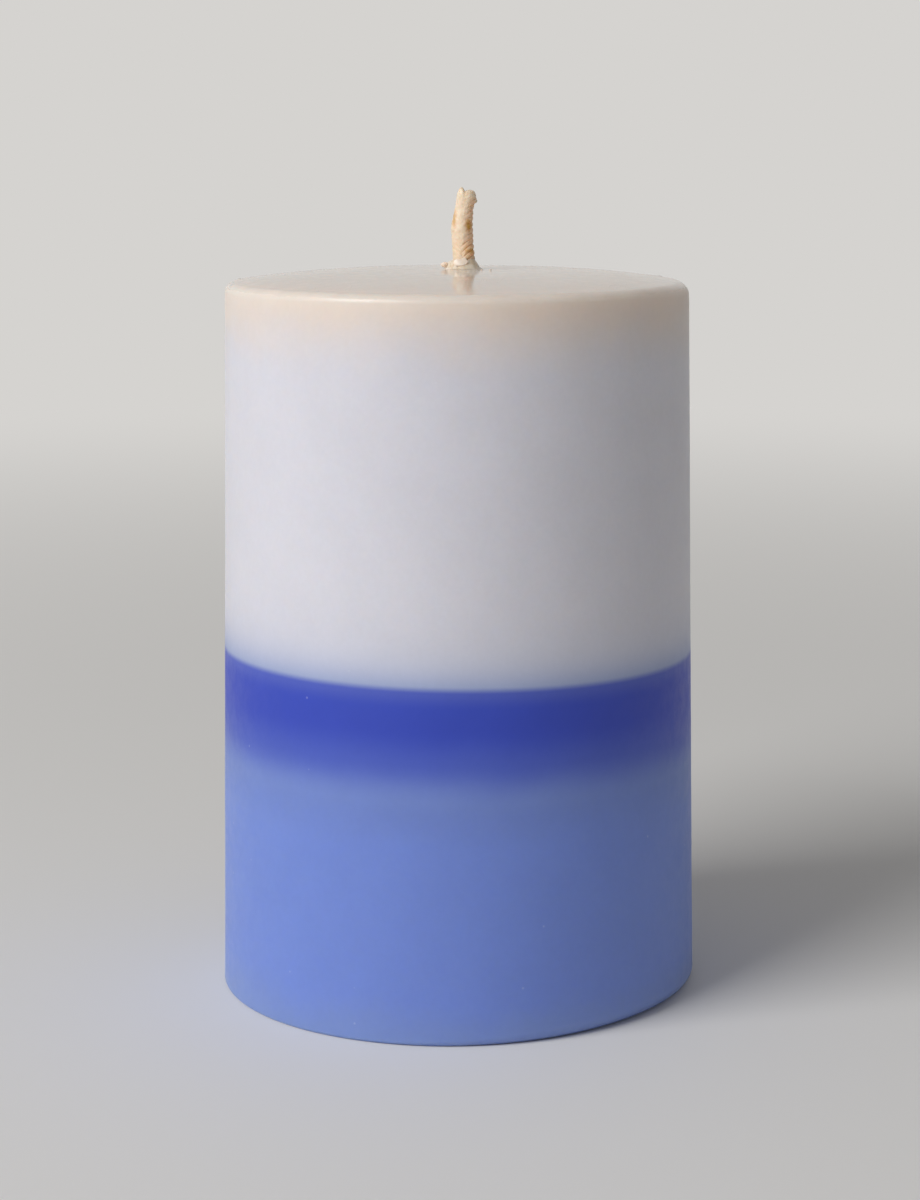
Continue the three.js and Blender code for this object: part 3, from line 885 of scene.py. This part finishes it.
class CANDLE_OT_wick(bpy.types.Operator):
    """Braids the cotton wick from the sustainer to its torn tip"""

    bl_idname = "candle.wick"
    bl_label = "Wick"

    def execute(self, context):
        wick = settings("wick")
        theta = angles_round(WICK_SIDES)
        section = wick_section(theta)
        top = WICK_OUTLINE[-1]
        edge_right = top[1] + top[2] * section * np.cos(theta)
        edge_back = top[2] * 0.92 * section * np.sin(theta)
        edge = torn_tip(edge_right, edge_back) - 0.16
        hidden = np.linspace(WICK_LOW.z - LAND_LEVEL, -1.5, 30, endpoint=False)
        shown = -1.5 + np.linspace(0, 1, 240)[:, None] * (edge + 1.5)
        heights = np.concatenate([np.repeat(hidden[:, None], WICK_SIDES, 1), shown])
        inside = heights < -1.4
        angle = np.repeat(theta[None], len(heights), 0)
        middle = np.where(inside, channel_centre(heights + LAND_LEVEL), wick_middle(heights))
        width = np.where(inside, WICK_HALF_WIDTH, wick_half_width(heights)) * section
        depth = width * np.where(inside, WICK_HALF_DEPTH / WICK_HALF_WIDTH, 0.92)
        relief, groove = braid_relief(angle, heights, wick)
        coat = wax_coat_and_glow(angle, heights)
        place = np.stack([np.cos(angle) * width, np.sin(angle) * depth, heights], -1)
        drips = 0.06 * ripple(place, 0.7, 52) + 0.03 * ripple(place, 0.3, 55)
        lumps = 0.07 * ripple(place, 1.5, 51) + coat * drips
        strand = bump(heights - STRAND_END, 0.35) * bump(apart(angle, -0.1), 0.5)
        shoulder = ease((heights - edge + 0.4) / 0.4) ** 2
        out = wick.relief / MM * (1 - 0.93 * coat) * (relief + 0.3) + lumps + 0.28 * strand - 0.08 * shoulder
        out = np.where(inside, 0, out)
        grid = np.stack([
            middle + np.cos(angle) * (width + out),
            np.sin(angle) * (depth + out),
            heights + LAND_LEVEL,
        ], -1)
        caps = self.torn_end(grid[-1])
        piece = capped_body("braided_wick", np.concatenate([grid, caps]))
        rest = caps.shape[0] * WICK_SIDES + 2
        # The groove value sets the painted shade between the yarns
        self.paint(piece, "groove", np.where(inside, 0, groove * (1 - 0.92 * coat)), rest, 0.06)
        self.paint(piece, "wax_coat_and_glow", coat, rest, 0.7)
        dress(piece, wick_material(wick), "primed_cotton", "wick")
        return {"FINISHED"}

    def torn_end(self, rim):
        """Rings that close the tip, from its rim to its middle."""
        centre = rim[:, :2].mean(0)
        rings = []
        for inward in np.cos(np.linspace(0, 0.99 * math.pi / 2, 48))[1:]:
            flat = centre + (rim[:, :2] - centre) * inward
            level = torn_tip(flat[:, 0], flat[:, 1]) - 0.16 * ease((inward - 0.9) / 0.1)
            rings.append(np.column_stack([flat, level + LAND_LEVEL]))
        rings = np.array(rings)
        squashed = rings * (1, 1, 0.2)
        fray = 0.07 * ripple(squashed, 0.5, 53) + 0.03 * ripple(squashed, 0.2, 54)
        rings[..., 2] += fray * ease((np.arange(len(rings)) + 1) / 12)[:, None]
        rings[..., 2] = np.minimum(rings[..., 2], WICK_HIGH.z)
        return rings

    def paint(self, piece, name, values, rest, rest_value):
        """Stores a value at each point, with one value for the points of the tip."""
        layer = piece.data.attributes.new(name, "FLOAT", "POINT")
        whole = np.append(values.ravel(), np.full(rest, rest_value))
        layer.data.foreach_set("value", whole.astype(np.float32))


# The collar's reach from the wick and its share of the full height, by angle in degrees
COLLAR_CENTRE = 0.97
COLLAR_REACH = ((0, 3.1), (60, 2.7), (120, 2.3), (180, 2.0), (240, 2.25), (300, 2.85), (360, 3.1))
COLLAR_SHARE = ((0, 1.0), (90, 0.9), (150, 0.75), (200, 0.68), (240, 0.68), (300, 0.85), (360, 1.0))
COLLAR_STEPS = 44
BEAD_PLACE = (-2.02, -0.15, 0.72)
BEAD_REACH = (0.58, 0.48, 0.43)
FLAKE_OUTLINE = (
    (-0.45, 1.45), (-0.1, 1.68), (0.6, 1.72), (1.25, 1.92), (1.5, 1.6), (1.84, 1.25), (1.4, 0.86),
    (0.75, 0.66), (-0.3, 0.62), (-0.62, 1.0),
)
CRUMBS = ((3.9, -3.2, 0.18), (5.25, -3.5, 0.2))


class CANDLE_OT_collar(bpy.types.Operator):
    """Draws wax up round the foot of the wick, with its bead, a flake and two crumbs"""

    bl_idname = "candle.collar"
    bl_label = "Collar, Bead and Crumbs"

    def execute(self, context):
        wick = settings("wick")
        milky = drawn_wax_material("drawn_collar_wax", wick.collar[:], srgb(246, 228, 206), 1.4)
        bright = drawn_wax_material("loose_wax", wick.flake[:], srgb(252, 228, 210), 0.4)
        dress(self.collar(wick), milky, "collar_wax", "wick_collar_wax")
        bead = self.lump("collar_bead_drop", BEAD_REACH, BEAD_PLACE, 0.14, 81)
        dress(bead, bright, "collar_wax", "collar_bead")
        dress(self.flake(), bright, "collar_wax")
        for number, (right, back, size) in enumerate(CRUMBS, 1):
            reach, place = (size, size, 0.6 * size), (right, back, 0.3 * size)
            crumb = self.lump(f"wax_crumb_{number}", reach, place, 0.2, 60 + number)
            dress(crumb, bright, "collar_wax")
        return {"FINISHED"}

    def collar(self, wick):
        """A steep uneven cone against the wick, with an arm that runs out to the bead on the left."""
        theta = angles_round(SMALL_SIDES * 2)
        degrees = np.degrees(theta)
        inner, foot_of_wick = 1.35, 1.72
        reach = np.interp(degrees, *np.array(COLLAR_REACH).T)
        height = np.interp(degrees, *np.array(COLLAR_SHARE).T) * wick.collar_height / MM
        arm = bump(degrees - 182, 13)
        reach = reach + 0.1 * np.sin(3 * theta + 0.6) + 0.06 * np.sin(7 * theta) + 1.2 * arm
        rows = []
        for out in np.linspace(0, 1, COLLAR_STEPS):
            radius = inner + out * (reach - inner)
            down = np.clip((radius - foot_of_wick) / (reach - foot_of_wick), 0, 1)
            cone = height * (1 - down) ** 1.8
            ridge = arm * (1.45 - 0.45 * down) * (1 - ease((down - 0.5) / 0.5))
            level = np.maximum(cone, ridge)
            right = COLLAR_CENTRE + radius * np.cos(theta)
            rows.append(np.column_stack([right, radius * np.sin(theta), level]))
        grid = np.array(rows)
        uneven = 0.13 * ripple(grid, 0.8, 71) + 0.04 * ripple(grid, 0.3, 72)
        middle = np.sin(np.linspace(0, math.pi, COLLAR_STEPS))[:, None] ** 1.5
        grid[..., 2] = np.maximum(grid[..., 2] + middle * uneven, 0.0)
        sunk = np.full_like(theta, -0.02)
        under = [
            np.column_stack([COLLAR_CENTRE + r * np.cos(theta), r * np.sin(theta), sunk])
            for r in (reach, (inner + reach) / 2, np.full_like(theta, inner))
        ]
        grid = np.concatenate([grid, under])
        grid[..., 2] += LAND_LEVEL
        return ring_body("wick_collar", grid)

    def lump(self, name, reach, place, roughness, seed):
        """A small rounded lump of wax, dented by noise and flattened where it rests."""
        build = bmesh.new()
        bmesh.ops.create_icosphere(build, subdivisions=4, radius=1)
        points = np.array([v.co for v in build.verts])
        faces = [[v.index for v in f.verts] for f in build.faces]
        build.free()
        dents = roughness * ripple(points, 0.9, seed)
        pits = 0.3 * roughness * ripple(points, 0.35, seed)
        points *= (1 + dents + pits)[:, None]
        points = points * reach + np.array(place)
        points[:, 2] = np.maximum(points[:, 2], -0.01) + LAND_LEVEL
        return make_mesh(name, points, faces)

    def flake(self):
        """A thin chip of wax that leans against the front of the wick, with its foot in the collar."""
        build = bmesh.new()
        corners = len(FLAKE_OUTLINE)
        for thickness in (0.0, 0.24):
            ring = []
            for right, up in FLAKE_OUTLINE:
                lean = 2.3 - 0.3 * up
                swing = 0.85 * math.asin((right - COLLAR_CENTRE) / 2.4)
                back = -(lean - 0.16 + thickness) * math.cos(swing)
                ring.append(build.verts.new(Vector((right, back, up + LAND_LEVEL)) * MM))
            build.faces.new(ring if thickness else ring[::-1])
        low, high = build.verts[:corners], build.verts[corners:]
        for i in range(corners):
            j = (i + 1) % corners
            build.faces.new((low[i], low[j], high[j], high[i]))
        bmesh.ops.recalc_face_normals(build, faces=build.faces)
        bmesh.ops.bevel(
            build, geom=build.edges[:], offset=0.07 * MM, segments=3, profile=0.5,
            affect="EDGES", clamp_overlap=True,
        )
        points = np.array([v.co for v in build.verts]) / MM
        faces = [[v.index for v in f.verts] for f in build.faces]
        build.free()
        return make_mesh("wax_flake", points, faces)


class CANDLE_OT_stage(bpy.types.Operator):
    """Sets up the camera, the pale floor and the soft lights"""

    bl_idname = "candle.stage"
    bl_label = "Stage"

    def execute(self, context):
        stage = settings("stage")
        self.camera(context, stage)
        self.floor(stage)
        self.world(context, stage)
        self.lamp("key", stage.key_power, KEY_PLACE, KEY_SIZE)
        context.scene.view_settings.view_transform = "Standard"
        return {"FINISHED"}

    def camera(self, context, stage):
        camera = bpy.data.objects.new("camera", bpy.data.cameras.new("camera"))
        context.scene.collection.objects.link(camera)
        camera.location = (stage.camera_side, -stage.camera_distance, stage.camera_height)
        camera.rotation_euler = (math.pi / 2 - stage.camera_pitch, 0, 0)
        camera.data.lens = stage.lens
        camera.data.shift_x, camera.data.shift_y = stage.shift
        camera.data.clip_start = 0.01
        context.scene.camera = camera

    def floor(self, stage):
        """A round floor whose colour passes into the backdrop's well away from the candle."""
        theta = angles_round(SMALL_SIDES)
        rings = [np.column_stack([r * np.cos(theta), r * np.sin(theta), np.zeros_like(theta)])
                 for r in (0.001, 60.0, 200.0, 600.0, 2500.0, 9000.0)]
        floor = make_mesh("floor", np.array(rings), grid_faces(len(rings), SMALL_SIDES))
        floor.location.z = -0.02 * MM
        tree = Tree("pale_floor")
        centre = tree.nodes.new("ShaderNodeVectorMath")
        centre.operation = "LENGTH"
        tree.feed(centre.inputs[0], tree.place)
        far = tree.remap(centre.outputs["Value"], 0.16, 0.9)
        tree.finish(Base_Color=stage.floor[:], Roughness=0.75)
        glow = tree.nodes.new("ShaderNodeEmission")
        tree.feed(glow.inputs["Color"], stage.backdrop[:])
        blend = tree.nodes.new("ShaderNodeMixShader")
        tree.feed(blend.inputs[0], tree.math("MULTIPLY", self.looked_at(tree.nodes, tree.links), far))
        tree.links.new(tree.shader.outputs["BSDF"], blend.inputs[1])
        tree.links.new(glow.outputs[0], blend.inputs[2])
        tree.links.new(blend.outputs[0], tree.output.inputs["Surface"])
        floor.data.materials.append(tree.material)

    def looked_at(self, nodes, links):
        """1 for what the camera sees by itself, in gloss or through glass, and 0 for light."""
        path = nodes.new("ShaderNodeLightPath").outputs
        seen = path["Is Camera Ray"]
        for way in ("Is Glossy Ray", "Is Transmission Ray"):
            either = nodes.new("ShaderNodeMath")
            either.operation = "MAXIMUM"
            links.new(seen, either.inputs[0])
            links.new(path[way], either.inputs[1])
            seen = either.outputs[0]
        return seen

    def world(self, context, stage):
        world = bpy.data.worlds.new("studio")
        context.scene.world = world
        world.use_nodes = True
        nodes, links = world.node_tree.nodes, world.node_tree.links
        nodes.clear()
        light, seen = nodes.new("ShaderNodeBackground"), nodes.new("ShaderNodeBackground")
        light.inputs["Color"].default_value = (1, 1, 1, 1)
        light.inputs["Strength"].default_value = stage.ambient
        seen.inputs["Color"].default_value = (*stage.backdrop, 1)
        blend, output = nodes.new("ShaderNodeMixShader"), nodes.new("ShaderNodeOutputWorld")
        links.new(self.looked_at(nodes, links), blend.inputs[0])
        links.new(light.outputs[0], blend.inputs[1])
        links.new(seen.outputs[0], blend.inputs[2])
        links.new(blend.outputs[0], output.inputs["Surface"])

    def lamp(self, name, power, place, size):
        data = bpy.data.lights.new(name, "AREA")
        data.shape = "RECTANGLE"
        data.size, data.size_y = size
        data.energy = power
        lamp = bpy.data.objects.new(name, data)
        bpy.context.scene.collection.objects.link(lamp)
        lamp.location = place
        aim = Vector((0, 0, LAND_LEVEL * MM / 2)) - Vector(place)
        lamp.rotation_euler = aim.to_track_quat("-Z", "Y").to_euler()


STEPS = (
    CANDLE_OT_stage,
    CANDLE_OT_base_layer,
    CANDLE_OT_middle_band,
    CANDLE_OT_top_layer,
    CANDLE_OT_top_up_pour,
    CANDLE_OT_sustainer,
    CANDLE_OT_wick,
    CANDLE_OT_collar,
)
GROUPS = {"wax": CandleWax, "wick": CandleWick, "metal": CandleMetal, "stage": CandleStage}


class CANDLE_PT_panel(bpy.types.Panel):
    """The candle's settings and the buttons that build its pieces"""

    bl_idname = "CANDLE_PT_panel"
    bl_label = "Pillar Candle"
    bl_space_type = "VIEW_3D"
    bl_region_type = "UI"
    bl_category = "Candle"

    def draw(self, context):
        for kind, group in GROUPS.items():
            box = self.layout.box()
            box.label(text=kind.capitalize())
            for name in group.__annotations__:
                box.prop(settings(kind), name)
        for step in STEPS:
            self.layout.operator(step.bl_idname)


def register():
    for kind, group in GROUPS.items():
        bpy.utils.register_class(group)
        setattr(bpy.types.Scene, "candle_" + kind, bpy.props.PointerProperty(type=group))
    for step in STEPS:
        bpy.utils.register_class(step)
    bpy.utils.register_class(CANDLE_PT_panel)


def unregister():
    bpy.utils.unregister_class(CANDLE_PT_panel)
    for step in reversed(STEPS):
        bpy.utils.unregister_class(step)
    for kind, group in GROUPS.items():
        delattr(bpy.types.Scene, "candle_" + kind)
        bpy.utils.unregister_class(group)


def main():
    register()
    bpy.ops.candle.stage()
    bpy.ops.candle.base_layer()
    bpy.ops.candle.middle_band()
    bpy.ops.candle.top_layer()
    bpy.ops.candle.top_up_pour()
    bpy.ops.candle.sustainer()
    bpy.ops.candle.wick()
    bpy.ops.candle.collar()


if __name__ == "__main__":
    main()
